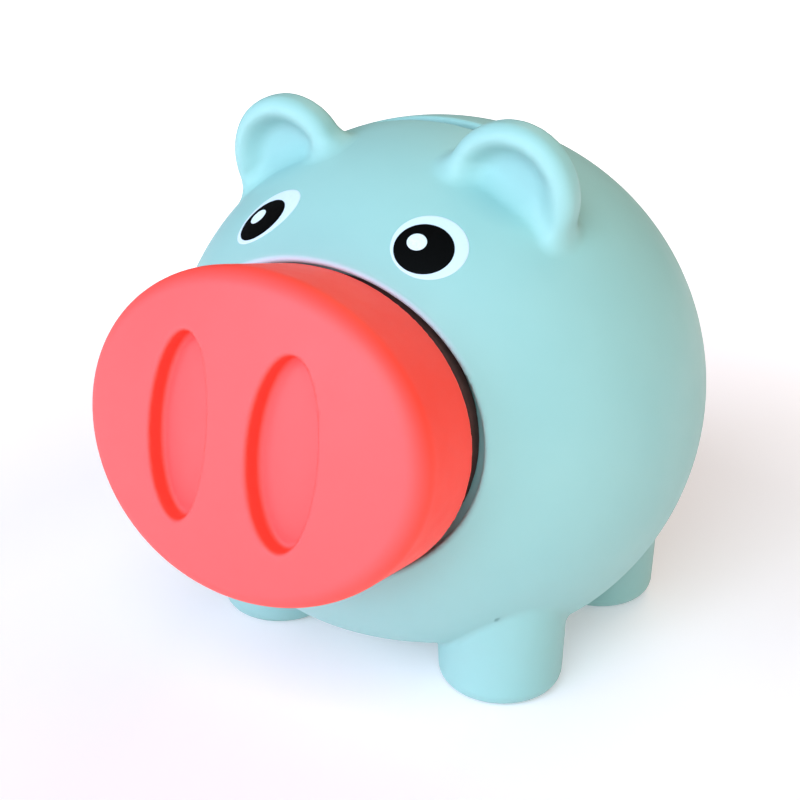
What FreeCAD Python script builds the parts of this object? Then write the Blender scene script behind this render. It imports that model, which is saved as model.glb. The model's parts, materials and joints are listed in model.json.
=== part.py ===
import FreeCAD, Part
import math
import os

# A round pig-shaped money bank. The hollow body stands on four stub legs, with two
# cupped ears, a slot for coins on its crown and a large oval nose that pulls straight
# out of a pocket in the face to let the coins out. Millimetres, +Z up, the face
# towards -Y, the origin on the ground under the middle of the bank.

# Every length below is a cell of the document's spreadsheet, and is changed there.
# "Level" means a distance along the nose's axis, counted from the middle of the body.
DIMENSIONS = [
    ("body_radius", 65.0, "round body, outside"),
    ("shell_wall", 2.5, "wall of the body"),
    ("body_setback", 8.2, "middle of the body, behind the origin"),
    ("belly_flattening", 7.6, "round that the belly's flat takes off"),
    ("belly_clearance", 2.9, "flat of the belly above the ground"),
    ("belly_rounding", 14.0, "rounding between the belly's flat and the round body"),
    ("leg_spread", 32.7, "leg axis from the middle plane"),
    ("front_leg_reach", 23.1, "front leg axes ahead of the middle of the body"),
    ("rear_leg_reach", 28.6, "rear leg axes behind the middle of the body"),
    ("foot_radius", 14.5, "leg at the ground"),
    ("leg_top_radius", 15.5, "leg where it is lost inside the body"),
    ("leg_height", 32.0, "leg from the ground to its top, inside the body"),
    ("foot_rounding", 4.0, "bottom edge of a leg"),
    ("ear_turn", 52.76, "degrees from straight ahead to the middle of an ear's rim"),
    ("ear_rise", 56.25, "degrees from level to the middle of an ear's rim"),
    ("ear_stand", 1.03, "middle of an ear's rim outside the round body"),
    ("ear_lean", 6.0, "degrees that the ear tips forward"),
    ("ear_radius", 15.3, "ear, outside"),
    ("ear_thickness", 8.4, "ear, front to back"),
    ("ear_rim_rounding", 3.0, "front edge of the ear"),
    ("ear_back_rounding", 2.6, "back edge of the ear"),
    ("ear_dish_radius", 10.8, "mouth of the hollow in the ear"),
    ("ear_dish_depth", 3.2, "depth of the hollow in the ear"),
    ("tail_coil_radius", 5.2, "curl of the tail, to the middle of its thickness"),
    ("tail_thickness", 4.6, "tail, across"),
    ("tail_lift", 8.0, "tail above the middle of the body"),
    ("slot_length", 36.0, "coin slot, across the body"),
    ("slot_width", 4.6, "coin slot, front to back"),
    ("slot_lip", 0.9, "rounding of the coin slot's edge"),
    ("nose_tilt", 10.6, "degrees that the nose's axis points up"),
    ("nose_drop", 1.5, "nose axis below the middle of the body"),
    ("nose_rim_inset", 10.2, "back rim of the nose, inside the round of the body"),
    ("nose_length", 26.5, "nose from its back rim to the highest point of its domed front"),
    ("nose_dome_radius", 174.0, "curve of the nose's front"),
    ("nose_rim_half_width", 41.9, "nose at its back rim"),
    ("nose_rim_half_height", 33.8, "nose at its back rim"),
    ("nose_front_half_width", 44.3, "nose at the level of its top"),
    ("nose_front_half_height", 35.0, "nose at the level of its top"),
    ("nose_rounding", 4.2, "front edge of the nose"),
    ("nose_wall", 2.4, "wall of the nose and of its plug"),
    ("nostril_spread", 13.4, "nostril centre from the middle plane"),
    ("nostril_half_width", 8.0, "nostril, oval"),
    ("nostril_half_height", 19.9, "nostril, oval"),
    ("nostril_depth", 4.6, "floor of the nostril below the nose's front"),
    ("nostril_rounding", 0.9, "mouth edge of a nostril"),
    ("pocket_cover", 1.3, "how far the nose's rim reaches past the pocket at both sides"),
    ("pocket_gap", 0.3, "between the nose's rim and the pocket at top and bottom"),
    ("pocket_depth", 20.0, "floor of the pocket, inside the round of the body"),
    ("pocket_lip", 3.0, "rounding of the pocket's edge"),
    ("pocket_seat", 6.4, "ledge of the pocket's floor, round its opening"),
    ("throat_length", 7.0, "collar of the opening, behind the pocket's floor"),
    ("plug_clearance", 0.5, "between the plug's neck and the throat"),
    ("plug_reach", 8.0, "plug's neck, past the pocket's floor"),
    ("bead_height", 0.3, "bead that grips behind the throat"),
    ("bead_width", 1.6, "bead, along the nose's axis"),
    ("seal_gap", 0.3, "between the seal and the pocket"),
    ("seal_band", 4.7, "seal, from the plug's neck to its outside"),
    ("seal_thickness", 4.0, "seal, along the nose's axis"),
    ("eye_turn", 27.9, "degrees from straight ahead to the middle of an eye"),
    ("eye_rise", 46.2, "degrees from level to the middle of an eye"),
    ("ink_thickness", 0.2, "one printed layer of an eye"),
    ("white_half_width", 8.1, "white of the eye"),
    ("white_half_height", 7.6, "white of the eye"),
    ("white_shift", 1.1, "white sideways of the pupil"),
    ("white_raise", 0.6, "white above the pupil"),
    ("pupil_half_width", 6.3, "pupil"),
    ("pupil_half_height", 5.9, "pupil"),
    ("glint_half_width", 2.1, "light spot on the pupil"),
    ("glint_half_height", 2.0, "light spot on the pupil"),
    ("glint_shift", 1.5, "light spot sideways of the pupil's middle"),
    ("glint_raise", 1.4, "light spot above the pupil's middle"),
]

# Sizes that follow from the ones above.
EAR_REACH = "(body_radius + ear_stand)"
FOLLOWING = [
    ("belly_depth", "body_radius - belly_flattening", "belly's flat below the body's middle"),
    ("stance_height", "belly_depth + belly_clearance", "middle of the body above the ground"),
    ("ear_spread", f"{EAR_REACH} * sin(ear_turn) * cos(ear_rise)", "ear from the middle plane"),
    ("ear_front", f"{EAR_REACH} * cos(ear_turn) * cos(ear_rise)", "ear ahead of the body's middle"),
    ("ear_lift", f"{EAR_REACH} * sin(ear_rise)", "ear above the middle of the body"),
    ("nose_rim_level", "body_radius - nose_rim_inset", "back rim of the nose"),
    ("nose_top_level", "nose_rim_level + nose_length", "highest point of the nose's front"),
    ("pocket_half_width", "nose_rim_half_width - pocket_cover", "pocket in the face"),
    ("pocket_half_height", "nose_rim_half_height + pocket_gap", "pocket in the face"),
    ("pocket_floor_level", "body_radius - pocket_depth", "floor of the pocket"),
    ("throat_half_width", "pocket_half_width - pocket_seat", "opening in the pocket's floor"),
    ("throat_half_height", "pocket_half_height - pocket_seat", "opening in the pocket's floor"),
    ("plug_end_level", "pocket_floor_level - plug_reach", "inner end of the plug's neck"),
    ("seal_half_width", "throat_half_width - plug_clearance + seal_band", "seal, outside"),
    ("seal_half_height", "throat_half_height - plug_clearance + seal_band", "seal, outside"),
]

doc = FreeCAD.newDocument("piggy_bank")
sheet = doc.addObject("Spreadsheet::Sheet", "Sizes")
for row, (alias, value, meaning) in enumerate(DIMENSIONS, start=1):
    sheet.set(f"A{row}", meaning)
    sheet.set(f"B{row}", str(value))
    sheet.setAlias(f"B{row}", alias)
doc.recompute()
for row, (alias, formula, meaning) in enumerate(FOLLOWING, start=len(DIMENSIONS) + 1):
    sheet.set(f"A{row}", meaning)
    sheet.set(f"B{row}", f"={formula}")
    sheet.setAlias(f"B{row}", alias)
    doc.recompute()

# Frames that the pieces are drawn in, as expressions on the sheet.
BODY_CENTRE = "vector(0; Sizes.body_setback; Sizes.stance_height)"
NOSE_TURN = "rotation(0; 0; 90 - Sizes.nose_tilt)"
SPARE = 10  # how far a cutting tool runs past what it cuts


def size(alias):
    """The value of one cell of the sheet."""
    return float(sheet.get(alias))


def cells(text):
    """An expression whose words are names of cells, ready to bind."""
    for alias in (row[0] for row in DIMENSIONS + FOLLOWING):
        text = text.replace(f"[{alias}]", f"Sizes.{alias}")
    return text


def make(kind, name, **expressions):
    """An object of the document with the given properties bound to the sheet."""
    item = doc.addObject(kind, name)
    for prop, text in expressions.items():
        item.setExpression(prop, cells(text))
    return item


def place(item, x="0", y="0", z="0", turn="rotation(0; 0; 0)", origin=BODY_CENTRE):
    """Puts an item at x, y, z in a frame turned about the given origin."""
    spot = f"{turn} * vector({x}; {y}; {z})"
    item.setExpression("Placement", cells(f"placement({origin} + {spot}; {turn})"))
    return item


def cut(name, base, *tools):
    """Base with each tool taken away in turn."""
    for number, tool in enumerate(tools, start=1):
        result = doc.addObject("Part::Cut", name if number == len(tools) else f"{name}_{number}")
        result.Base = base
        result.Tool = tool
        base = result
    return base


def fuse(name, *items):
    """The items as one solid."""
    result = doc.addObject("Part::MultiFuse", name)
    result.Shapes = list(items)
    result.Refine = False
    return result


def common(name, first, second):
    """What two items share."""
    result = doc.addObject("Part::Common", name)
    result.Base = first
    result.Tool = second
    return result


def rounded(name, base, radius, wanted):
    """Base with a fillet on each edge whose sampled points all pass the test."""
    doc.recompute()
    edges = []
    for number, edge in enumerate(base.Shape.Edges, start=1):
        if not edge.Degenerated and all(wanted(point) for point in edge.discretize(7)):
            edges.append((number, radius, radius))
    if not edges:
        raise ValueError(f"{name} found no edge to round")
    result = doc.addObject("Part::Fillet", name)
    result.Base = base
    result.Edges = edges
    return result


def oval(name, half_width, half_height, level, turn=NOSE_TURN, x="0", y="-[nose_drop]"):
    """An ellipse across the given axis, at a distance along it from the body's middle."""
    curve = make("Part::Ellipse", name, MajorRadius=half_width, MinorRadius=half_height)
    return place(curve, x, y, level, turn)


def raised(name, curve, length, turn):
    """The solid that a flat curve leaves as it moves out along the turned frame's axis."""
    block = make("Part::Extrusion", name, LengthFwd=length, Dir=f"{turn} * vector(0; 0; 1)")
    block.Base = curve
    block.DirMode = "Custom"
    block.Solid = True
    return block


def oval_block(name, half_width, half_height, level, length, turn=NOSE_TURN, x="0", y="-[nose_drop]"):
    """A straight oval prism that starts at a level and runs outwards."""
    return raised(name, oval(f"{name}_outline", half_width, half_height, level, turn, x, y), length, turn)


def tall_oval_block(name, half_width, half_height, level, length, x):
    """An oval prism along the nose's axis that is taller than it is wide."""
    upright = "rotation(0; 0; 90 - [nose_tilt]) * rotation(90; 0; 0)"
    curve = make("Part::Ellipse", f"{name}_outline", MajorRadius=half_height, MinorRadius=half_width)
    spot = f"{NOSE_TURN} * vector({x}; -[nose_drop]; {level})"
    curve.setExpression("Placement", cells(f"placement({BODY_CENTRE} + {spot}; {upright})"))
    return raised(name, curve, length, NOSE_TURN)


def ball(name, radius, level="0", x="0", y="0", turn=NOSE_TURN):
    """A sphere, by default about the middle of the body."""
    return place(make("Part::Sphere", name, Radius=radius), x, y, level, turn)


def named(item, label):
    """Marks an item as a finished piece of the bank."""
    item.Label = label
    PIECES[label] = item
    return item


PIECES = {}


# ---- body ----------------------------------------------------------------------------

def flattened_ball(name, radius, flat, rounding):
    """A sphere with its bottom cut flat and the cut's edge rounded."""
    sphere = ball(f"{name}_ball", radius, turn="rotation(0; 0; 0)")
    below = make("Part::Box", f"{name}_below", Length=f"4 * {radius}", Width=f"4 * {radius}",
                 Height=f"2 * {radius}")
    place(below, f"-2 * {radius}", f"-2 * {radius}", f"-({flat}) - 2 * {radius}")
    trimmed = cut(f"{name}_trimmed", sphere, below)
    doc.recompute()
    lowest = trimmed.Shape.BoundBox.ZMin
    return rounded(name, trimmed, rounding, lambda point: abs(point.z - lowest) < 0.01)


LEGS = {
    "front_left": ("[leg_spread]", "-[front_leg_reach]"),
    "front_right": ("-[leg_spread]", "-[front_leg_reach]"),
    "rear_left": ("[leg_spread]", "[rear_leg_reach]"),
    "rear_right": ("-[leg_spread]", "[rear_leg_reach]"),
}


def leg(corner, across, along):
    """One stub leg, wider at the top, with a rounded foot."""
    cone = make("Part::Cone", f"leg_{corner}_cone", Radius1="[foot_radius]",
                Radius2="[leg_top_radius]", Height="[leg_height]")
    place(cone, across, along, "-[stance_height]")
    return rounded(f"leg_{corner}", cone, size("foot_rounding"), lambda point: abs(point.z) < 0.01)


def leg_hollow(corner, across, along):
    """The inside of a leg, open to the inside of the body."""
    cone = make("Part::Cone", f"leg_{corner}_hollow", Radius1="[foot_radius] - [shell_wall]",
                Radius2="[leg_top_radius] - [shell_wall]", Height="[leg_height]")
    return place(cone, across, along, "-[stance_height] + [shell_wall]")


def ear(side, sign):
    """A thick round ear with a shallow hollow in front."""
    turn = "rotation(0; 0; 90 + [ear_lean])"
    across = f"{sign} * [ear_spread]"
    spot = f"vector({across}; -[ear_front]; [ear_lift])"
    origin = f"{BODY_CENTRE} + {spot}"
    disc = make("Part::Cylinder", f"ear_{side}_disc", Radius="[ear_radius]", Height="[ear_thickness]")
    place(disc, z="-[ear_thickness]", turn=turn, origin=origin)
    doc.recompute()
    rim = disc.Placement

    def on_front(point):
        return abs(rim.inverse().multVec(point).z - size("ear_thickness")) < 0.01

    def on_back(point):
        return abs(rim.inverse().multVec(point).z) < 0.01

    soft_front = rounded(f"ear_{side}_front", disc, size("ear_rim_rounding"), on_front)
    soft = rounded(f"ear_{side}_soft", soft_front, size("ear_back_rounding"), on_back)
    bowl_radius = "([ear_dish_radius]^2 + [ear_dish_depth]^2) / (2 * [ear_dish_depth])"
    bowl = make("Part::Sphere", f"ear_{side}_bowl", Radius=bowl_radius)
    place(bowl, z=f"{bowl_radius} - [ear_dish_depth]", turn=turn, origin=origin)
    return cut(f"ear_{side}", soft, bowl)


def tail():
    """A small curl lying half sunk in the back of the body."""
    curl = make("Part::Torus", "tail_curl", Radius1="[tail_coil_radius]",
                Radius2="[tail_thickness] / 2")
    back = f"{BODY_CENTRE} + vector(0; sqrt([body_radius]^2 - [tail_lift]^2); [tail_lift])"
    return place(curl, turn="rotation(0; 0; 90)", origin=back)


def coin_slot():
    """The cutting tool for the slot in the crown."""
    tool = make("Part::Box", "coin_slot_tool", Length="[slot_length]", Width="[slot_width]",
                Height=f"[body_radius] / 2 + {SPARE}")
    place(tool, "-[slot_length] / 2", "-[slot_width] / 2", "[body_radius] / 2")
    middle = size("body_setback")

    def corner(point):
        return (abs(abs(point.x) - size("slot_length") / 2) < 0.01
                and abs(abs(point.y - middle) - size("slot_width") / 2) < 0.01)

    return rounded("coin_slot", tool, 0.45 * size("slot_width"), corner)


def on_body(point):
    """True for a point on the round outside of the body."""
    centre = FreeCAD.Vector(0, size("body_setback"), size("stance_height"))
    return abs((point - centre).Length - size("body_radius")) < 0.02


def on_slot_edge(point):
    """True for a point where the coin slot meets the outside of the body."""
    behind = abs(point.y - size("body_setback"))
    inside = behind < size("slot_width") / 2 + 0.02 and abs(point.x) < size("slot_length") / 2 + 0.02
    return on_body(point) and inside and point.z > size("stance_height")


def on_pocket_edge(point):
    """True for a point where the pocket meets the outside of the body."""
    tilt = math.radians(size("nose_tilt"))
    height = point.z - size("stance_height")
    behind = point.y - size("body_setback")
    above = behind * math.sin(tilt) + height * math.cos(tilt) + size("nose_drop")
    oval_value = (point.x / size("pocket_half_width")) ** 2 + (above / size("pocket_half_height")) ** 2
    return on_body(point) and behind < 0 and abs(oval_value - 1) < 0.01


def body_shell():
    """The one-piece body with its legs, ears, tail, coin slot and nose pocket."""
    outside = flattened_ball("outside", "[body_radius]", "[belly_depth]", size("belly_rounding"))
    inside_rounding = size("belly_rounding") - size("shell_wall")
    inside = flattened_ball("inside", "([body_radius] - [shell_wall])",
                            "[belly_depth] - [shell_wall]", inside_rounding)
    legs = [leg(corner, *spot) for corner, spot in LEGS.items()]
    hollows = [leg_hollow(corner, *spot) for corner, spot in LEGS.items()]
    ears = [ear("left", "1"), ear("right", "-1")]
    skin = fuse("skin", outside, *legs, *ears, tail())
    space = fuse("space", inside, *hollows)
    cup = oval_block("pocket_cup", "[pocket_half_width] + [shell_wall]",
                     "[pocket_half_height] + [shell_wall]",
                     "[pocket_floor_level] - [shell_wall]", "[body_radius]")
    collar = oval_block("throat_collar", "[throat_half_width] + [shell_wall]",
                        "[throat_half_height] + [shell_wall]",
                        "[pocket_floor_level] - [throat_length]", "[throat_length]")
    hollow = cut("hollow", space, cup, collar)
    pocket = oval_block("pocket", "[pocket_half_width]", "[pocket_half_height]",
                        "[pocket_floor_level]", "[body_radius]")
    throat = oval_block("throat", "[throat_half_width]", "[throat_half_height]",
                        f"[pocket_floor_level] - [throat_length] - {SPARE}", "[body_radius]")
    opened = cut("opened", skin, hollow, pocket, throat, coin_slot())
    lipped = rounded("lipped", opened, size("pocket_lip"), on_pocket_edge)
    named(rounded("slot_lipped", lipped, size("slot_lip"), on_slot_edge), "body_shell")


# ---- nose ----------------------------------------------------------------------------

def nose_block(name, inset):
    """The nose's tapered, domed solid, drawn in from its outside by an inset."""
    back = oval(f"{name}_back", f"[nose_rim_half_width] - {inset}",
                f"[nose_rim_half_height] - {inset}", "[nose_rim_level]")
    front = oval(f"{name}_front", f"[nose_front_half_width] - {inset}",
                 f"[nose_front_half_height] - {inset}", "[nose_top_level]")
    wall = doc.addObject("Part::Loft", f"{name}_wall")
    wall.Sections = [back, front]
    wall.Solid = True
    wall.Ruled = True
    dome = ball(f"{name}_dome", f"[nose_dome_radius] - {inset}",
                "[nose_top_level] - [nose_dome_radius]", y="-[nose_drop]")
    return common(name, wall, dome)


def nostril(side, sign, depth, extra):
    """An oval block over a nostril, down to a level below the nose's front."""
    return tall_oval_block(f"nostril_{side}_{'core' if extra == '0' else 'boss'}",
                           f"[nostril_half_width] + {extra}", f"[nostril_half_height] + {extra}",
                           f"[nose_top_level] - {depth}", f"{depth} + {SPARE}",
                           f"{sign} * [nostril_spread]")


def nose_cap():
    """The hollow nose with its two nostrils."""
    outside = nose_block("nose_outside", "0")
    doc.recompute()
    frame = outside_frame()
    rim_level = size("nose_rim_level")

    def front_edge(point):
        local = frame.inverse().multVec(point)
        return local.z > rim_level + 5 and math.hypot(local.x, local.y) > 0.8 * size("nose_rim_half_height")

    soft = rounded("nose_soft", outside, size("nose_rounding"), front_edge)
    floor_ball = ball("nostril_floor", "[nose_dome_radius] - [nostril_depth]",
                      "[nose_top_level] - [nose_dome_radius]", y="-[nose_drop]")
    cores = []
    bosses = []
    for side, sign in (("left", "1"), ("right", "-1")):
        core = nostril(side, sign, "(2 * [nostril_depth])", "0")
        cores.append(cut(f"nostril_{side}", core, floor_ball))
        bosses.append(nostril(side, sign, "([nostril_depth] + [nose_wall] + 1)", "[nose_wall]"))
    cavity = cut("nose_cavity", nose_block("nose_inside", "[nose_wall]"), *bosses)
    hollowed = cut("nose_hollowed", soft, cavity, *cores)

    def nostril_edge(point):
        local = frame.inverse().multVec(point)
        centre = FreeCAD.Vector(0, 0, size("nose_top_level") - size("nose_dome_radius"))
        on_front = abs((local - centre).Length - size("nose_dome_radius")) < 0.02
        across = (abs(local.x) - size("nostril_spread")) / size("nostril_half_width")
        upright = local.y / size("nostril_half_height")
        return on_front and abs(across ** 2 + upright ** 2 - 1) < 0.01

    named(rounded("nose_rounded", hollowed, size("nostril_rounding"), nostril_edge), "nose_cap")


def outside_frame():
    """The nose's frame: X across, Z out along its axis, from the middle of the body."""
    turn = FreeCAD.Rotation(0, 0, 90 - size("nose_tilt"))
    centre = FreeCAD.Vector(0, size("body_setback"), size("stance_height"))
    return FreeCAD.Placement(centre + turn.multVec(FreeCAD.Vector(0, -size("nose_drop"), 0)), turn)


def nose_plug():
    """The plate that closes the back of the nose, with the hollow neck that goes in."""
    cavity = nose_block("plug_fill", "[nose_wall]")
    slab = oval_block("plug_slab", "[nose_front_half_width]", "[nose_front_half_height]",
                      "[nose_rim_level]", "[nose_wall]")
    plate = common("plug_plate", cavity, slab)
    neck = oval_block("plug_neck", "[throat_half_width] - [plug_clearance]",
                      "[throat_half_height] - [plug_clearance]", "[plug_end_level]",
                      "[nose_rim_level] - [plug_end_level] + [nose_wall] / 2")
    bead = oval_block("plug_bead", "[throat_half_width] - [plug_clearance] + [bead_height]",
                      "[throat_half_height] - [plug_clearance] + [bead_height]",
                      "[plug_end_level]", "[bead_width]")
    bore = oval_block("plug_bore", "[throat_half_width] - [plug_clearance] - [nose_wall]",
                      "[throat_half_height] - [plug_clearance] - [nose_wall]",
                      f"[plug_end_level] - {SPARE}",
                      f"[nose_rim_level] - [plug_end_level] + {SPARE}")
    named(cut("plug_bored", fuse("plug_solid", plate, neck, bead), bore), "nose_plug")


def nose_seal():
    """The soft dark ring round the neck, at the bottom of the pocket."""
    level = "[pocket_floor_level] + [seal_gap]"
    ring = oval_block("seal_ring", "[seal_half_width]", "[seal_half_height]", level,
                      "[seal_thickness]")
    hole = oval_block("seal_hole", "[throat_half_width] - [plug_clearance]",
                      "[throat_half_height] - [plug_clearance]", f"{level} - {SPARE}",
                      f"[seal_thickness] + 2 * {SPARE}")
    named(cut("seal_cut", ring, hole), "nose_seal")


# ---- eyes ----------------------------------------------------------------------------

def ink_layer(label, side_sign, layer, half_width, half_height, shift, raise_by):
    """One printed oval that follows the round of the body, in its layer above it."""
    turn = f"rotation({side_sign} * [eye_turn]; 0; 90 - [eye_rise])"
    spot = oval_block(f"{label}_outline", half_width, half_height, "[body_radius] / 2",
                      "[body_radius]", turn, shift, raise_by)
    under = ball(f"{label}_under", f"[body_radius] + {layer} * [ink_thickness]")
    over = ball(f"{label}_over", f"[body_radius] + {layer + 1} * [ink_thickness]")
    named(common(f"{label}_spot", spot, cut(f"{label}_skin", over, under)), label)


def eyes():
    """Both eyes: a white oval, a dark pupil on it and a light spot on the pupil."""
    for side, sign in (("left", "1"), ("right", "-1")):
        ink_layer(f"eye_white_{side}", sign, 0, "[white_half_width]", "[white_half_height]",
                  "[white_shift]", "[white_raise]")
        ink_layer(f"pupil_{side}", sign, 1, "[pupil_half_width]", "[pupil_half_height]", "0", "0")
        ink_layer(f"glint_{side}", sign, 2, "[glint_half_width]", "[glint_half_height]",
                  "-[glint_shift]", "[glint_raise]")


# ---- build, check, write ---------------------------------------------------------------

body_shell()
nose_cap()
nose_plug()
nose_seal()
eyes()
doc.recompute()

for item in doc.Objects:
    if "Invalid" in item.State or "Error" in item.State:
        raise RuntimeError(f"{item.Name} did not build: {item.State}")
for label, item in PIECES.items():
    if item.Shape.isNull() or not item.Shape.isValid() or len(item.Shape.Solids) != 1:
        raise RuntimeError(f"{label} is not one valid solid")

os.makedirs("parts", exist_ok=True)
for label, item in PIECES.items():
    item.Shape.exportStep(f"parts/{label}.step")
    box = item.Shape.BoundBox
    print(f"{label:18s} {item.Shape.Volume:10.1f} mm3  X {box.XMin:.2f} {box.XMax:.2f}"
          f"  Y {box.YMin:.2f} {box.YMax:.2f}  Z {box.ZMin:.2f} {box.ZMax:.2f}")
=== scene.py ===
"""The looks of a round pig-shaped money bank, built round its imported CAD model.

Every moulded piece is described as a field: a formula that is negative inside the piece
and positive outside it, in millimetres. skin() turns a field into a closed quad mesh.
"""

import json
from itertools import product
from math import atan2, cos, pi, radians, sin, sqrt

import bpy
import numpy as np
from mathutils import Matrix, Vector


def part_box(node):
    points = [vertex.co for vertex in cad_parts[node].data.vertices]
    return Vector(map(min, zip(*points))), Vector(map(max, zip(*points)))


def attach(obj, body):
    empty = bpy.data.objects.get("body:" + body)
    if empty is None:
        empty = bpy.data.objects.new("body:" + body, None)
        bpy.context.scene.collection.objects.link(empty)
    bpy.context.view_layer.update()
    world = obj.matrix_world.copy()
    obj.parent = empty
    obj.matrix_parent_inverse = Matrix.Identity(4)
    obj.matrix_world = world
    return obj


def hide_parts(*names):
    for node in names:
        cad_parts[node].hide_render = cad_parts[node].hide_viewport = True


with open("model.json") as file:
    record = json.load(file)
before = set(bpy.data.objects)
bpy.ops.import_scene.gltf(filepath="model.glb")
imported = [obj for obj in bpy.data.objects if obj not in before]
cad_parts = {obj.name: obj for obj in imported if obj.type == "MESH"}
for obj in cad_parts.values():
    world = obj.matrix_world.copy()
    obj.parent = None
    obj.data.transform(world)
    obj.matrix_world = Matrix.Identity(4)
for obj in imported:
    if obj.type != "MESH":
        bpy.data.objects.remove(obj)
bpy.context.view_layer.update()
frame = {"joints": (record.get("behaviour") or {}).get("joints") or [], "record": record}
record = frame["record"]

MM = 0.001

# ---- sizes, in millimetres ---------------------------------------------------------------

FEET = {m["name"]: np.array(m["pos_m"]) / MM for m in record["mounts"]}
NOSE_AXIS = np.array(frame["joints"][0]["axis"])
BODY_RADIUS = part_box("body_shell")[1].x / MM
CENTRE = np.array([0.0, 8.2, 60.3])
WALL = 2.5
BELLY_DEPTH = 57.4
BELLY_ROUNDING = 14.0

FOOT_RADIUS = 14.5
LEG_TAPER = 1.0 / 32.0
FOOT_ROUNDING = 4.0
FRONT_CREASE = 0.8
REAR_CREASE = 5.0

EAR_SPREAD = 29.2
EAR_LIFT = 54.9
EAR_FRONT = 22.2
EAR_LEAN = radians(6.0)
EAR_RADIUS = 15.3
EAR_THICKNESS = 8.4
EAR_ROUNDING = 3.3
EAR_DISH_RADIUS = 10.0
EAR_DISH_DEPTH = 3.0
EAR_DISH_SCOOP = 0.16
EAR_DISH_LIP = 3.0
EAR_DISH_CORNER = 4.0
EAR_ROOT = 4.0

TAIL_LIFT = 8.0
TAIL_COIL = 5.2
TAIL_COIL_END = 0.45
TAIL_THICK = 2.4
TAIL_TIP = 1.3
TAIL_TURNS = 1.35
TAIL_START = 0.4
TAIL_RISE = 2.2
TAIL_ROOT = 1.2
TAIL_ROOM = 14.0

SLOT_HALF_LENGTH = 18.0
SLOT_HALF_WIDTH = 2.3
SLOT_LIP = 0.9

NOSE_DROP = 1.5
RIM_LEVEL = 54.8
TOP_LEVEL = 81.3
DOME_RADIUS = 174.0
RIM_HALF = (41.9, 33.8)
FRONT_HALF = (44.3, 35.0)
NOSE_ROUNDING = 4.2
NOSE_WALL = 2.4
NOSTRIL_SPREAD = 13.4
NOSTRIL_HALF = (8.0, 19.9)
NOSTRIL_DEPTH = 4.6
NOSTRIL_LIP = 1.1
NOSTRIL_CORNER = 1.2

POCKET_HALF = (41.0, 33.9)
POCKET_FLOOR = 45.0
POCKET_LIP = 1.8
POCKET_LIP_EXTRA = 0.7
POCKET_LIP_GROWS = (0.40, 0.85)
THROAT_HALF = (34.2, 27.7)
THROAT_LENGTH = 7.0
NECK_HALF = (33.7, 27.2)
NECK_END = 37.0
BEAD_HEIGHT = 0.3
BEAD_WIDTH = 1.6
SEAL_HALF = (38.4, 31.9)
SEAL_LEVEL = 45.3
SEAL_THICKNESS = 4.0

EYE_TURN = radians(27.9)
EYE_RISE = radians(46.2)
INK = 0.2

ENDLESS = 1e3


# ---- fields ------------------------------------------------------------------------------

def within(first, second, radius):
    """What two fields share, with the edge between them rounded to a radius."""
    outside = np.hypot(np.maximum(first + radius, 0), np.maximum(second + radius, 0))
    return np.minimum(np.maximum(first, second), -radius) + outside


def joined(first, second, radius):
    """Two fields together, with a fillet of a radius where they meet."""
    return -within(-first, -second, radius)


def without(first, second, radius):
    """The first field with the second taken away, its edge rounded to a radius."""
    return within(first, -second, radius)


def ball(p, centre, radius):
    """Distance from a ball."""
    return np.linalg.norm(p - centre, axis=1) - radius


def oval(across, up, half_width, half_height):
    """Distance from an ellipse in its own plane, true close to the ellipse."""
    reach = np.hypot(across / half_width, up / half_height)
    slope = np.hypot(across / half_width ** 2, up / half_height ** 2)
    return reach * (reach - 1) / np.maximum(slope, 1e-9)


# The nose's frame: across, up, and out along its axis from the middle of the body.
NOSE_UP = np.cross(NOSE_AXIS, [1.0, 0.0, 0.0])
NOSE_FRAME = np.stack([[1.0, 0.0, 0.0], NOSE_UP, NOSE_AXIS], axis=1)
NOSE_ORIGIN = CENTRE - NOSE_DROP * NOSE_UP


def in_nose(p):
    """Points in the nose's frame."""
    return ((p - NOSE_ORIGIN) @ NOSE_FRAME).T


def prism(p, half, low, high, edge=0.3):
    """An oval block along the nose's axis between two levels."""
    across, up, out = in_nose(p)
    return within(oval(across, up, *half), np.maximum(low - out, out - high), edge)


def grown(half, extra):
    """An oval's half sizes with the same amount added to both."""
    return half[0] + extra, half[1] + extra


def flattened_ball(p, inset):
    """The round body with its flat belly, drawn in by an inset."""
    round_part = ball(p, CENTRE, BODY_RADIUS - inset)
    below = (CENTRE[2] - BELLY_DEPTH + inset) - p[:, 2]
    return within(round_part, below, BELLY_ROUNDING - inset)


def legs(p, inset, end):
    """The two stub legs at one end, a little wider at the top, with rounded feet."""
    nearest = np.full(len(p), ENDLESS)
    for foot in (FEET[f"{end}_left_foot"], FEET[f"{end}_right_foot"]):
        side = np.hypot(p[:, 0] - foot[0], p[:, 1] - foot[1])
        side = side - (FOOT_RADIUS - inset + LEG_TAPER * p[:, 2])
        above = p[:, 2] - CENTRE[2]
        post = within(np.maximum(side, above), inset - p[:, 2], FOOT_ROUNDING - inset)
        nearest = np.minimum(nearest, post)
    return nearest


def standing_body(p, inset):
    """The round body on its four legs, drawn in by an inset."""
    body = joined(flattened_ball(p, inset), legs(p, inset, "front"), FRONT_CREASE)
    return joined(body, legs(p, inset, "rear"), REAR_CREASE)


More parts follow.
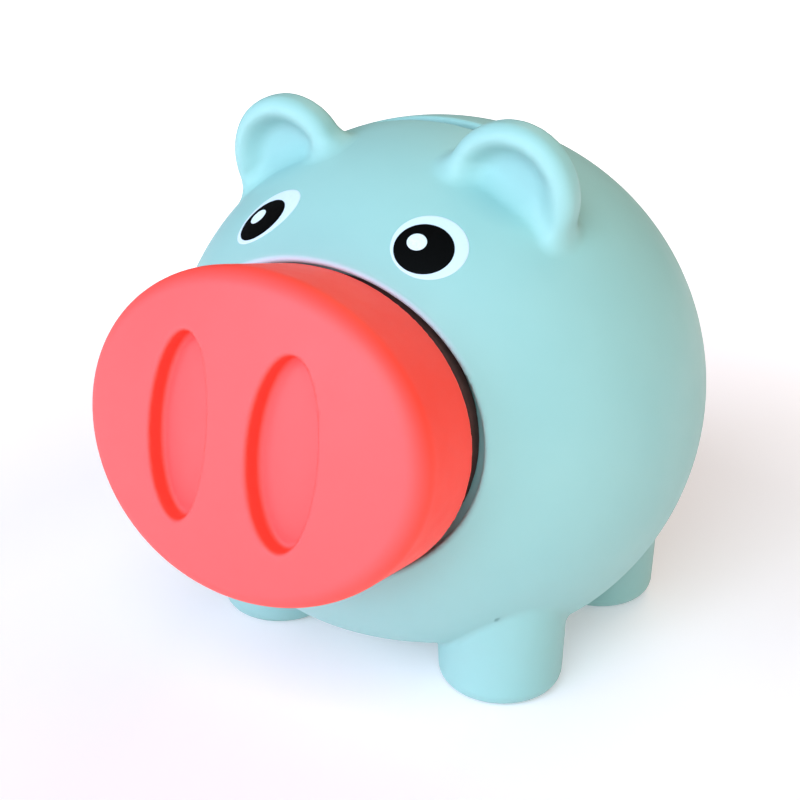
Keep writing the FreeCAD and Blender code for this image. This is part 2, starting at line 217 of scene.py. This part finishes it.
def ears(p):
    """Two thick round ears with a soft scoop in front, deepest at the top and open to the head."""
    mirrored = np.column_stack([np.abs(p[:, 0]), p[:, 1:]]) - CENTRE
    spot = np.array([EAR_SPREAD, -EAR_FRONT, EAR_LIFT])
    forward = np.array([0.0, -cos(EAR_LEAN), -sin(EAR_LEAN)])
    local = mirrored - spot
    out = local @ forward
    side = np.linalg.norm(local - np.outer(out, forward), axis=1)
    disc = within(side - EAR_RADIUS, np.maximum(out, -EAR_THICKNESS - out), EAR_ROUNDING)
    height = local @ np.cross(forward, [1.0, 0.0, 0.0])
    rim = np.hypot(local[:, 0], np.maximum(height, 0)) - EAR_DISH_RADIUS
    dish = within(rim, -EAR_DISH_DEPTH - EAR_DISH_SCOOP * height - out, EAR_DISH_CORNER)
    return without(disc, dish, EAR_DISH_LIP)


def tail(p):
    """A small curl that winds out of the back of the body and tapers to its tip."""
    far = ball(p, CENTRE + [0, BODY_RADIUS, TAIL_LIFT], TAIL_ROOM)
    value = np.maximum(far, 1.0)
    near = far < 0
    if not near.any():
        return value
    along = np.linspace(0, 1, 70)
    turn = 2 * pi * TAIL_TURNS * along - pi / 2
    coil = TAIL_COIL * (1 - (1 - TAIL_COIL_END) * along)
    across = coil * np.cos(turn)
    up = TAIL_LIFT + coil * np.sin(turn)
    out = np.sqrt(BODY_RADIUS ** 2 - across ** 2 - up ** 2) + TAIL_START + TAIL_RISE * along
    middle = np.stack([across, out, up], axis=1) + CENTRE
    thick = TAIL_THICK + (TAIL_TIP - TAIL_THICK) * along
    gaps = np.linalg.norm(p[near][:, None, :] - middle[None], axis=2) - thick
    value[near] = gaps.min(axis=1)
    return value


def slot(p):
    """The coin slot, an oblong right through the crown."""
    across = np.maximum(np.abs(p[:, 0]) - (SLOT_HALF_LENGTH - SLOT_HALF_WIDTH), 0)
    side = np.hypot(across, p[:, 1] - CENTRE[1]) - SLOT_HALF_WIDTH
    return np.maximum(side, CENTRE[2] + BODY_RADIUS / 2 - p[:, 2])


def body_field(p):
    """The hollow body with legs, ears, tail, coin slot and the pocket for the nose."""
    skin_side = joined(standing_body(p, 0.0), ears(p), EAR_ROOT)
    skin_side = joined(skin_side, tail(p), TAIL_ROOT)
    inside = standing_body(p, WALL)
    cup = prism(p, grown(POCKET_HALF, WALL), POCKET_FLOOR - WALL, ENDLESS)
    collar = prism(p, grown(THROAT_HALF, WALL), POCKET_FLOOR - THROAT_LENGTH, ENDLESS)
    inside = without(inside, joined(cup, collar, 1.0), 1.0)
    wall = without(skin_side, inside, 0.6)
    pocket = prism(p, POCKET_HALF, POCKET_FLOOR, ENDLESS, 1.0)
    throat = prism(p, THROAT_HALF, 0.0, ENDLESS)
    starts, ends = POCKET_LIP_GROWS
    high = np.clip((in_nose(p)[1] / POCKET_HALF[1] - starts) / (ends - starts), 0, 1)
    wall = without(wall, pocket, POCKET_LIP + POCKET_LIP_EXTRA * high)
    wall = without(wall, throat, 0.8)
    return without(wall, slot(p), SLOT_LIP)


def nose_solid(p, inset, edge):
    """The nose's tapered, domed block, drawn in by an inset."""
    across, up, out = in_nose(p)
    share = (out - RIM_LEVEL) / (TOP_LEVEL - RIM_LEVEL)
    half_width = RIM_HALF[0] + (FRONT_HALF[0] - RIM_HALF[0]) * share - inset
    half_height = RIM_HALF[1] + (FRONT_HALF[1] - RIM_HALF[1]) * share - inset
    wall = oval(across, up, half_width, half_height)
    dome_middle = TOP_LEVEL - DOME_RADIUS
    dome = np.sqrt(across ** 2 + up ** 2 + (out - dome_middle) ** 2) - (DOME_RADIUS - inset)
    return within(wall, dome, edge)


def nostrils(p, extra, depth, corner):
    """The two upright ovals in the nose's front, down to a depth that follows the dome."""
    across, up, out = in_nose(p)
    side = oval(np.abs(across) - NOSTRIL_SPREAD, up, *grown(NOSTRIL_HALF, extra))
    dome_middle = TOP_LEVEL - DOME_RADIUS
    reach = np.sqrt(across ** 2 + up ** 2 + (out - dome_middle) ** 2)
    return within(side, (DOME_RADIUS - depth) - reach, corner)


def nose_cap_field(p):
    """The hollow nose, open at the back."""
    out = in_nose(p)[2]
    outside = within(nose_solid(p, 0.0, NOSE_ROUNDING), RIM_LEVEL - out, 0.7)
    outside = without(outside, nostrils(p, 0.0, NOSTRIL_DEPTH, NOSTRIL_CORNER), NOSTRIL_LIP)
    cavity = nose_solid(p, NOSE_WALL, NOSE_ROUNDING - NOSE_WALL)
    cavity = without(cavity, nostrils(p, NOSE_WALL, NOSTRIL_DEPTH + NOSE_WALL, 0.5), 0.8)
    return without(outside, cavity, 0.5)


def nose_plug_field(p):
    """The plate in the back of the nose, with the hollow neck and its grip bead."""
    out = in_nose(p)[2]
    between = np.maximum(RIM_LEVEL - out, out - RIM_LEVEL - NOSE_WALL)
    plate = np.maximum(nose_solid(p, NOSE_WALL, 1.0), between)
    neck = prism(p, NECK_HALF, NECK_END, RIM_LEVEL + NOSE_WALL / 2, 0.6)
    bead = prism(p, grown(NECK_HALF, BEAD_HEIGHT), NECK_END, NECK_END + BEAD_WIDTH, 0.5)
    whole = joined(plate, joined(neck, bead, 0.3), 0.8)
    return without(whole, prism(p, grown(NECK_HALF, -NOSE_WALL), 0.0, RIM_LEVEL, 1.0), 0.5)


def nose_seal_field(p):
    """The soft ring round the neck at the bottom of the pocket."""
    ring = prism(p, SEAL_HALF, SEAL_LEVEL, SEAL_LEVEL + SEAL_THICKNESS, 1.4)
    return without(ring, prism(p, NECK_HALF, 0.0, ENDLESS), 0.3)


# ---- from a field to a mesh ----------------------------------------------------------------

def lines(low, high, step, close=()):
    """Places of grid lines, with a smaller step inside each (from, to, step) stretch."""
    places = [low]
    while places[-1] < high:
        here = places[-1]
        steps = [small for start, end, small in close if start <= here < end]
        places.append(here + min(steps, default=step))
    return np.array(places)


def slopes(field, points, h=0.02):
    """Which way the field rises at each point, and how fast."""
    rises = []
    for axis in np.eye(3):
        rises.append((field(points + h * axis) - field(points - h * axis)) / (2 * h))
    return np.stack(rises, axis=1)


def pulled(field, points, reach, rounds=3):
    """Points moved on to the surface where the field is zero."""
    for _ in range(rounds):
        rise = slopes(field, points)
        steepness = np.maximum((rise ** 2).sum(axis=1), 0.05)
        move = -(field(points) / steepness)[:, None] * rise
        length = np.linalg.norm(move, axis=1, keepdims=True)
        points = points + move * np.minimum(1, reach / np.maximum(length, 1e-9))
    return points


def relaxed(field, points, quads, reach, rounds=4):
    """Points spread evenly over the surface by sliding each towards its neighbours."""
    start = quads.ravel()
    end = np.roll(quads, -1, axis=1).ravel()
    one = np.concatenate([start, end])
    other = np.concatenate([end, start])
    count = np.bincount(one, minlength=len(points))[:, None]
    for _ in range(rounds):
        sums = [np.bincount(one, points[other, axis], len(points)) for axis in range(3)]
        total = np.stack(sums, axis=1)
        slide = total / count - points
        normal = slopes(field, points)
        normal /= np.maximum(np.linalg.norm(normal, axis=1, keepdims=True), 1e-9)
        slide -= (slide * normal).sum(axis=1, keepdims=True) * normal
        points = pulled(field, points + 0.6 * slide, reach, 1)
    return points


def skin(name, field, grid, material):
    """A closed quad mesh of the surface where a field is zero, sampled on grid lines."""
    xs, ys, zs = grid
    plane = np.stack(np.meshgrid(ys, zs, indexing="ij"), axis=-1).reshape(-1, 2)
    solid = np.empty((len(xs), len(ys), len(zs)), bool)
    for i, x in enumerate(xs):
        sheet = np.column_stack([np.full(len(plane), x), plane])
        solid[i] = (field(sheet) < 0).reshape(len(ys), len(zs))
    size = [n - 1 for n in solid.shape]
    count = sum(solid[a:a + size[0], b:b + size[1], c:c + size[2]].astype(int)
                for a, b, c in product((0, 1), repeat=3))
    mixed = (count > 0) & (count < 8)
    number = np.full(mixed.shape, -1)
    number[mixed] = np.arange(mixed.sum())
    cells = np.argwhere(mixed)
    points = np.stack([(g[cells[:, axis]] + g[cells[:, axis] + 1]) / 2
                       for axis, g in enumerate(grid)], axis=1)
    quads = []
    for axis in range(3):
        here = np.moveaxis(solid, axis, 0)
        around = np.moveaxis(number, axis, 0)
        i, j, k = np.nonzero((here[:-1] != here[1:])[:, 1:-1, 1:-1])
        j, k = j + 1, k + 1
        quad = np.stack([around[i, j - 1, k - 1], around[i, j, k - 1],
                         around[i, j, k], around[i, j - 1, k]], axis=1)
        backwards = here[i, j, k] == (axis == 1)
        quad[backwards] = quad[backwards][:, ::-1]
        quads.append(quad)
    quads = np.concatenate(quads)
    reach = 0.6 * min(np.diff(g).max() for g in grid)
    points = pulled(field, points, reach, 4)
    points = relaxed(field, points, quads, reach)
    points = pulled(field, points, reach, 3)
    piece = solid_piece(name, points, quads.tolist(), material)
    normals = slopes(field, points, 0.05)
    normals /= np.maximum(np.linalg.norm(normals, axis=1, keepdims=True), 1e-9)
    piece.data.normals_split_custom_set_from_vertices(normals.tolist())
    return piece


def solid_piece(name, points, faces, material):
    """A smooth-shaded object from points in millimetres."""
    mesh = bpy.data.meshes.new(name)
    mesh.from_pydata((points * MM).tolist(), [], faces)
    mesh.update()
    mesh.shade_smooth()
    mesh.materials.append(material)
    piece = bpy.data.objects.new(name, mesh)
    bpy.context.scene.collection.objects.link(piece)
    return piece


# ---- materials -----------------------------------------------------------------------------

def shader(name, roughness):
    """A new material, its node tree and its main shader."""
    material = bpy.data.materials.new(name)
    material.use_nodes = True
    tree = material.node_tree
    main = tree.nodes["Principled BSDF"]
    main.inputs["Roughness"].default_value = roughness
    return material, tree, main


def noise(tree, scale, detail=2.0, roughness=0.5):
    """A noise pattern fixed to the piece, with its size given per metre."""
    where = tree.nodes.new("ShaderNodeTexCoord")
    pattern = tree.nodes.new("ShaderNodeTexNoise")
    pattern.inputs["Scale"].default_value = scale
    pattern.inputs["Detail"].default_value = detail
    pattern.inputs["Roughness"].default_value = roughness
    tree.links.new(where.outputs["Object"], pattern.inputs["Vector"])
    return pattern.outputs["Fac"]


def spread(tree, value, low, high, start=0.3, end=0.7):
    """A value carried from one range to another."""
    node = tree.nodes.new("ShaderNodeMapRange")
    node.inputs["From Min"].default_value = start
    node.inputs["From Max"].default_value = end
    node.inputs["To Min"].default_value = low
    node.inputs["To Max"].default_value = high
    tree.links.new(value, node.inputs["Value"])
    return node.outputs["Result"]


def product_of(tree, first, second):
    """One value times another."""
    node = tree.nodes.new("ShaderNodeMath")
    node.operation = "MULTIPLY"
    tree.links.new(first, node.inputs[0])
    tree.links.new(second, node.inputs[1])
    return node.outputs["Value"]


def blend_colours(tree, factor, first, second):
    """A colour between two, by a factor."""
    node = tree.nodes.new("ShaderNodeMix")
    node.data_type = "RGBA"
    node.inputs["A"].default_value = (*first, 1.0)
    node.inputs["B"].default_value = (*second, 1.0)
    tree.links.new(factor, node.inputs["Factor"])
    return node.outputs["Result"]


def painted(tree, under, factor, colour):
    """What lies under, turned to a colour by a factor."""
    node = tree.nodes.new("ShaderNodeMix")
    node.data_type = "RGBA"
    tree.links.new(factor, node.inputs["Factor"])
    tree.links.new(under, node.inputs["A"])
    node.inputs["B"].default_value = (*colour, 1.0)
    return node.outputs["Result"]


def from_nose(tree, widths=(1.0, 1.0)):
    """Places in the nose's frame, in metres over the two widths across and up it."""
    where = tree.nodes.new("ShaderNodeTexCoord")
    turn = tree.nodes.new("ShaderNodeMapping")
    turn.vector_type = "TEXTURE"
    turn.inputs["Location"].default_value = Vector(NOSE_ORIGIN * MM)
    turn.inputs["Rotation"].default_value = (atan2(NOSE_UP[2], NOSE_UP[1]), 0.0, 0.0)
    turn.inputs["Scale"].default_value = (*widths, 1.0)
    tree.links.new(where.outputs["Object"], turn.inputs["Vector"])
    return turn.outputs["Vector"]


def painted_lip_highlight(tree):
    """Painted highlight mask: one on the wide upper edge of the nose's pocket, none elsewhere on the
    body.
    """
    apart = tree.nodes.new("ShaderNodeSeparateXYZ")
    tree.links.new(from_nose(tree, (POCKET_HALF[0] * MM, POCKET_HALF[1] * MM)), apart.inputs["Vector"])
    flat = tree.nodes.new("ShaderNodeCombineXYZ")
    tree.links.new(apart.outputs["X"], flat.inputs["X"])
    tree.links.new(apart.outputs["Y"], flat.inputs["Y"])
    reach = tree.nodes.new("ShaderNodeVectorMath")
    reach.operation = "LENGTH"
    tree.links.new(flat.outputs["Vector"], reach.inputs[0])
    near = spread(tree, reach.outputs["Value"], 1.0, 0.0, 1.025, 1.052)
    ahead = spread(tree, apart.outputs["Z"], 0.0, 1.0, 0.044, 0.048)
    # Only the upper lip, where the light falls, gets the painted highlight.
    high = spread(tree, apart.outputs["Y"], 0.0, 1.0, 0.50, 0.90)
    return product_of(tree, product_of(tree, near, ahead), high)


def painted_ear_shade(tree):
    """Painted shade mask: one in the hollows of both ears, none on the rest of the body."""
    apart = tree.nodes.new("ShaderNodeSeparateXYZ")
    tree.links.new(tree.nodes.new("ShaderNodeTexCoord").outputs["Object"], apart.inputs["Vector"])
    mirrored = tree.nodes.new("ShaderNodeMath")
    mirrored.operation = "ABSOLUTE"
    tree.links.new(apart.outputs["X"], mirrored.inputs[0])
    folded = tree.nodes.new("ShaderNodeCombineXYZ")
    tree.links.new(mirrored.outputs["Value"], folded.inputs["X"])
    tree.links.new(apart.outputs["Y"], folded.inputs["Y"])
    tree.links.new(apart.outputs["Z"], folded.inputs["Z"])
    reach = tree.nodes.new("ShaderNodeVectorMath")
    reach.operation = "DISTANCE"
    tree.links.new(folded.outputs["Vector"], reach.inputs[0])
    hollow = [EAR_SPREAD, -EAR_FRONT + EAR_DISH_DEPTH, EAR_LIFT + 0.25 * EAR_DISH_RADIUS]
    reach.inputs[1].default_value = Vector((CENTRE + hollow) * MM)
    dish = EAR_DISH_RADIUS * MM
    return spread(tree, reach.outputs["Value"], 1.0, 0.0, 0.5 * dish, 1.15 * dish)


def painted_front_light(tree):
    """Painted light mask: one where the surface faces along the nose's axis, none where it faces
    sideways.
    """
    where = tree.nodes.new("ShaderNodeTexCoord")
    along = tree.nodes.new("ShaderNodeVectorMath")
    along.operation = "DOT_PRODUCT"
    along.inputs[1].default_value = Vector(NOSE_AXIS)
    tree.links.new(where.outputs["Normal"], along.inputs[0])
    return spread(tree, along.outputs["Value"], 0.0, 1.0, 0.25, 0.95)


def vinyl(name, colour, deeper, gloss, scatter, painted_light, painted_light_colour, glow, glow_colour,
          shaded=None, shade_colour=None):
    """Soft moulded vinyl: faint cloudy colour, a fine matte grain, slow dents and a little
    light scattered through it, with painted light (another colour and a faint painted glow,
    both following the painted-light mask) and a deeper colour as painted shade where it is shaded."""
    material, tree, main = shader(name, gloss)
    clouds = spread(tree, noise(tree, 38.0, 3.0), 0.0, 1.0)
    whole = blend_colours(tree, clouds, colour, deeper)
    if shaded:
        whole = painted(tree, whole, shaded(tree), shade_colour)
    # Painted light: where this mask is strong the colour is painted paler and a painted glow is
    # emitted.
    painted_light_mask = painted_light(tree)
    tree.links.new(painted(tree, whole, painted_light_mask, painted_light_colour), main.inputs["Base Color"])
    tree.links.new(spread(tree, painted_light_mask, *glow, 0.0, 1.0), main.inputs["Emission Strength"])
    main.inputs["Emission Color"].default_value = (*glow_colour, 1.0)
    patches = noise(tree, 120.0, 4.0, 0.6)
    tree.links.new(spread(tree, patches, gloss - 0.05, gloss + 0.05), main.inputs["Roughness"])
    grain = tree.nodes.new("ShaderNodeBump")
    grain.inputs["Strength"].default_value = 0.25
    grain.inputs["Distance"].default_value = 0.03 * MM
    tree.links.new(noise(tree, 2600.0, 2.0), grain.inputs["Height"])
    dents = tree.nodes.new("ShaderNodeBump")
    dents.inputs["Strength"].default_value = 0.35
    dents.inputs["Distance"].default_value = 0.25 * MM
    tree.links.new(noise(tree, 90.0, 1.0), dents.inputs["Height"])
    tree.links.new(dents.outputs["Normal"], grain.inputs["Normal"])
    tree.links.new(grain.outputs["Normal"], main.inputs["Normal"])
    main.inputs["Specular IOR Level"].default_value = 0.30
    main.inputs["Subsurface Weight"].default_value = scatter
    main.inputs["Subsurface Radius"].default_value = (1.0, 1.0, 1.0)
    main.inputs["Subsurface Scale"].default_value = 1.5 * MM
    return material


def ink(name, colour, deeper, gloss):
    """Printed ink: nearly even, with the slight speckle of a pad print."""
    material, tree, main = shader(name, gloss)
    speckle = spread(tree, noise(tree, 1500.0, 3.0, 0.7), 0.0, 1.0, 0.35, 0.75)
    tree.links.new(blend_colours(tree, speckle, colour, deeper), main.inputs["Base Color"])
    sheen = spread(tree, noise(tree, 700.0, 2.0), gloss - 0.06, gloss + 0.06)
    tree.links.new(sheen, main.inputs["Roughness"])
    film = tree.nodes.new("ShaderNodeBump")
    film.inputs["Strength"].default_value = 0.2
    film.inputs["Distance"].default_value = 0.02 * MM
    tree.links.new(noise(tree, 1800.0, 2.0), film.inputs["Height"])
    tree.links.new(film.outputs["Normal"], main.inputs["Normal"])
    main.inputs["Specular IOR Level"].default_value = 0.06
    return material


def foam(name):
    """Closed-cell foam rubber for the nose's seal; its dark red-brown is painted shade for the deep
    gap round the nose.
    """
    material, tree, main = shader(name, 0.85)
    cells = tree.nodes.new("ShaderNodeTexVoronoi")
    cells.inputs["Scale"].default_value = 2200.0
    where = tree.nodes.new("ShaderNodeTexCoord")
    tree.links.new(where.outputs["Object"], cells.inputs["Vector"])
    pits = tree.nodes.new("ShaderNodeBump")
    pits.inputs["Strength"].default_value = 0.5
    pits.inputs["Distance"].default_value = 0.08 * MM
    tree.links.new(cells.outputs["Distance"], pits.inputs["Height"])
    tree.links.new(pits.outputs["Normal"], main.inputs["Normal"])
    shade = spread(tree, noise(tree, 400.0, 3.0), 0.0, 1.0)
    # Painted shade: these dark red-browns stand in for the shadow in the gap round the nose.
    colour = blend_colours(tree, shade, (0.080, 0.037, 0.029), (0.112, 0.052, 0.041))
    tree.links.new(colour, main.inputs["Base Color"])
    return material


# Painted light and shade on the body: a paler colour and a faint painted glow on the upper lip of the
# nose's pocket as a painted highlight, and a deeper colour in the ear hollows as painted shade.
BODY_VINYL = vinyl("body_vinyl", (0.350, 0.605, 0.570), (0.330, 0.585, 0.555), 0.50, 0.10,
                   painted_lip_highlight, (0.62, 0.74, 0.84), (0.0, 0.13), (0.70, 0.88, 1.00),
                   painted_ear_shade, (0.285, 0.530, 0.515))
# The nose and plug are painted paler where they face along the nose's axis, as painted light on their
# fronts, and given a faint painted glow that is stronger on their sides.
NOSE_VINYL = vinyl("nose_vinyl", (0.990, 0.062, 0.040), (0.980, 0.055, 0.034), 0.52, 0.08,
                   painted_front_light, (0.970, 0.102, 0.100), (0.13, 0.02), (1.00, 0.06, 0.03))
PLUG_VINYL = vinyl("plug_vinyl", (0.930, 0.070, 0.045), (0.900, 0.062, 0.040), 0.55, 0.08,
                   painted_front_light, (0.900, 0.085, 0.070), (0.05, 0.02), (1.00, 0.06, 0.03))
SEAL_FOAM = foam("seal_foam")
WHITE_INK = ink("eye_white_ink", (0.680, 0.800, 0.890), (0.650, 0.770, 0.870), 0.42)
PUPIL_INK = ink("pupil_ink", (0.0002, 0.0002, 0.0003), (0.0008, 0.0008, 0.0010), 0.50)
GLINT_INK = ink("glint_ink", (0.800, 0.900, 0.930), (0.640, 0.780, 0.820), 0.42)


# ---- moulded pieces ------------------------------------------------------------------------

def keep(piece, node, body):
    """The piece stands for its CAD node and moves with its body."""
    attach(piece, body)
    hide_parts(node)
    return piece


def node_lines(node, step, close=((), (), ())):
    """Grid lines round a CAD node, a little past its box."""
    low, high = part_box(node)
    margin = 2 * step + 1
    return [lines(low[a] / MM - margin, high[a] / MM + margin, step, close[a]) for a in range(3)]


# Finer grid lines run over the edge of the nose's pocket and over the coin slot.
CELL = 1.35
FINE = 0.65
SLOT_CELL = 0.6
edge_in, edge_out = POCKET_HALF[0] - 2, POCKET_HALF[0] + 4
crown = CENTRE[2] + BODY_RADIUS
close_x = [(-edge_out, 2 - POCKET_HALF[0], FINE), (edge_in, edge_out, FINE)]
close_y = [(CENTRE[1] - 63, CENTRE[1] - 44, FINE), (CENTRE[1] - 3.6, CENTRE[1] + 3.6, SLOT_CELL)]
close_z = [(CENTRE[2] - 29, CENTRE[2] - 18, FINE), (CENTRE[2] + 39, CENTRE[2] + 47, FINE),
           (crown - 4, crown + 1, SLOT_CELL)]
body_grid = node_lines("body_shell", CELL, (close_x, close_y, close_z))
keep(skin("body_vinyl_shell", body_field, body_grid, BODY_VINYL),
     "body_shell", "bank")

nose_cell = 0.9
keep(skin("nose_vinyl_cap", nose_cap_field, node_lines("nose_cap", nose_cell), NOSE_VINYL),
     "nose_cap", "nose")
keep(skin("nose_vinyl_plug", nose_plug_field, node_lines("nose_plug", nose_cell), PLUG_VINYL),
     "nose_plug", "nose")
keep(skin("nose_foam_seal", nose_seal_field, node_lines("nose_seal", nose_cell), SEAL_FOAM),
     "nose_seal", "nose")


# ---- printed eyes --------------------------------------------------------------------------

# Rings from the middle of a print to its edge: how far out, and how much of the ink's depth.
PRINT_PROFILE = ((0.25, 1), (0.5, 1), (0.75, 1), (0.92, 1),
                 (0.975, 0.97), (0.993, 0.85), (1, 0.65), (1, 0))


def printed_oval(name, side, layer, half, shift, lean, material):
    """A thin oval of ink that follows the round of the body, with a softly rounded edge.

    Its first half size runs level, or leans up from level by an angle.
    """
    turn = side * EYE_TURN
    out = np.array([sin(turn) * cos(EYE_RISE), -cos(turn) * cos(EYE_RISE), sin(EYE_RISE)])
    level = np.array([cos(turn), sin(turn), 0.0])
    steep = np.cross(out, level)
    middle = shift[0] * level + shift[1] * steep
    long_way = half[0] * (cos(lean) * level + sin(lean) * steep)
    short_way = half[1] * (cos(lean) * steep - sin(lean) * level)
    around = np.linspace(0, 2 * pi, 96, endpoint=False)
    edge = np.outer(np.cos(around), long_way) + np.outer(np.sin(around), short_way)
    top = BODY_RADIUS + INK * (0.6 * layer + 0.6)
    sunk = BODY_RADIUS + INK * (0.6 * layer - 0.6)
    rings = []
    for share, lift in PRINT_PROFILE:
        flat = middle + share * edge
        radius = sunk + lift * (top - sunk)
        rings.append(CENTRE + flat + np.outer(np.sqrt(radius ** 2 - (flat ** 2).sum(axis=1)), out))
    count = len(around)
    middles = [[CENTRE + middle + sqrt(radius ** 2 - middle @ middle) * out]
               for radius in (top, sunk)]
    points = np.concatenate(rings + middles)
    faces = []
    for ring, i in product(range(len(rings) - 1), range(count)):
        j = (i + 1) % count
        near, far = ring * count, (ring + 1) * count
        faces.append((near + i, far + i, far + j, near + j))
    last = (len(rings) - 1) * count
    for i in range(count):
        j = (i + 1) % count
        faces.append((i, j, len(points) - 2))
        faces.append((last + j, last + i, len(points) - 1))
    return solid_piece(name, points, faces, material)


# For each eye, the white, the pupil and the glint: half sizes, shift and lean.
EYES = {
    ("left", 1): (((8.1, 7.6), (1.1, 0.6), 0.0),
                  ((6.3, 5.9), (0.0, 0.0), 0.0),
                  ((2.1, 2.0), (-1.5, 1.4), 0.0)),
    ("right", -1): (((9.0, 6.2), (0.45, 1.35), radians(60)),
                    ((6.45, 4.95), (0.0, 0.0), radians(56)),
                    ((2.2, 1.7), (-1.87, 0.15), radians(56))),
}
PRINTS = (("eye_white", WHITE_INK), ("pupil", PUPIL_INK), ("glint", GLINT_INK))
for (side_name, side), ovals in EYES.items():
    for layer, ((node, finish), oval_sizes) in enumerate(zip(PRINTS, ovals)):
        print_name = f"{node}_print_{side_name}"
        piece = printed_oval(print_name, side, layer, *oval_sizes, finish)
        keep(piece, f"{node}_{side_name}", "bank")


# ---- floor, light and camera ---------------------------------------------------------------

def floor():
    """A pale seamless sweep that glows a little, and more away from the bank."""
    material, tree, main = shader("sweep_paper", 0.9)
    tone = spread(tree, noise(tree, 3.0, 2.0), 0.0, 1.0)
    colour = blend_colours(tree, tone, (0.93, 0.84, 0.86), (0.91, 0.82, 0.84))
    tree.links.new(colour, main.inputs["Base Color"])
    where = tree.nodes.new("ShaderNodeTexCoord")
    distance = tree.nodes.new("ShaderNodeVectorMath")
    distance.operation = "LENGTH"
    tree.links.new(where.outputs["Object"], distance.inputs[0])
    glow = spread(tree, distance.outputs["Value"], 0.24, 0.95, 0.13, 0.50)
    tree.links.new(glow, main.inputs["Emission Strength"])
    main.inputs["Emission Color"].default_value = (0.97, 0.95, 1.0, 1.0)
    reach = 3000.0
    corners = reach * np.array([(-1, -1, 0), (1, -1, 0), (1, 1, 0), (-1, 1, 0)])
    solid_piece("floor", corners, [(0, 1, 2, 3)], material)


LAMP_SIZE = 0.8
LAMP_DISTANCE = 1.3


def lamp(name, azimuth, elevation, power, colour):
    """A square soft box that looks at the body from a direction."""
    data = bpy.data.lights.new(name, "AREA")
    data.shape = "SQUARE"
    data.size = LAMP_SIZE
    data.energy = power
    data.color = colour
    obj = bpy.data.objects.new(name, data)
    bpy.context.scene.collection.objects.link(obj)
    middle = Vector(CENTRE * MM)
    away = Vector((sin(azimuth) * cos(elevation), -cos(azimuth) * cos(elevation), sin(elevation)))
    obj.location = middle + away * LAMP_DISTANCE
    obj.rotation_euler = away.to_track_quat("Z", "Y").to_euler()


def surroundings(colour, strength):
    """An even pale light from all round."""
    world = bpy.data.worlds.new("studio")
    world.use_nodes = True
    back = world.node_tree.nodes["Background"]
    back.inputs["Color"].default_value = (*colour, 1.0)
    back.inputs["Strength"].default_value = strength
    bpy.context.scene.world = world


def camera(azimuth, elevation, distance, lens, shift_right, shift_up):
    """The camera, aimed past the middle of the body by small sideways and upward shifts."""
    back = np.array([sin(azimuth) * cos(elevation), -cos(azimuth) * cos(elevation), sin(elevation)])
    right = np.array([cos(azimuth), sin(azimuth), 0.0])
    up = np.cross(back, right)
    place = (CENTRE + back * distance + right * shift_right + up * shift_up) * MM
    data = bpy.data.cameras.new("camera")
    data.lens = lens
    data.sensor_width = 36.0
    data.clip_start = 0.01
    obj = bpy.data.objects.new("camera", data)
    turn = Matrix(np.stack([right, up, back], axis=1)).to_4x4()
    obj.matrix_world = Matrix.Translation(Vector(place)) @ turn
    bpy.context.scene.collection.objects.link(obj)
    bpy.context.scene.camera = obj


floor()
surroundings((1.0, 1.0, 1.0), 0.20)
lamp("key", radians(-20), radians(20), 10.4, (0.66, 0.72, 1.00))
lamp("top_front", radians(20), radians(40), 13.0, (0.66, 0.90, 1.00))
lamp("warm_side", radians(110), radians(25), 1.7, (1.00, 0.55, 0.15))
lamp("back", radians(180), radians(50), 4.0, (1.00, 0.75, 0.50))
camera(radians(33.35), radians(22.18), 336.8, 61.3, -9.14, -4.31)
bpy.context.scene.view_settings.view_transform = "Standard"
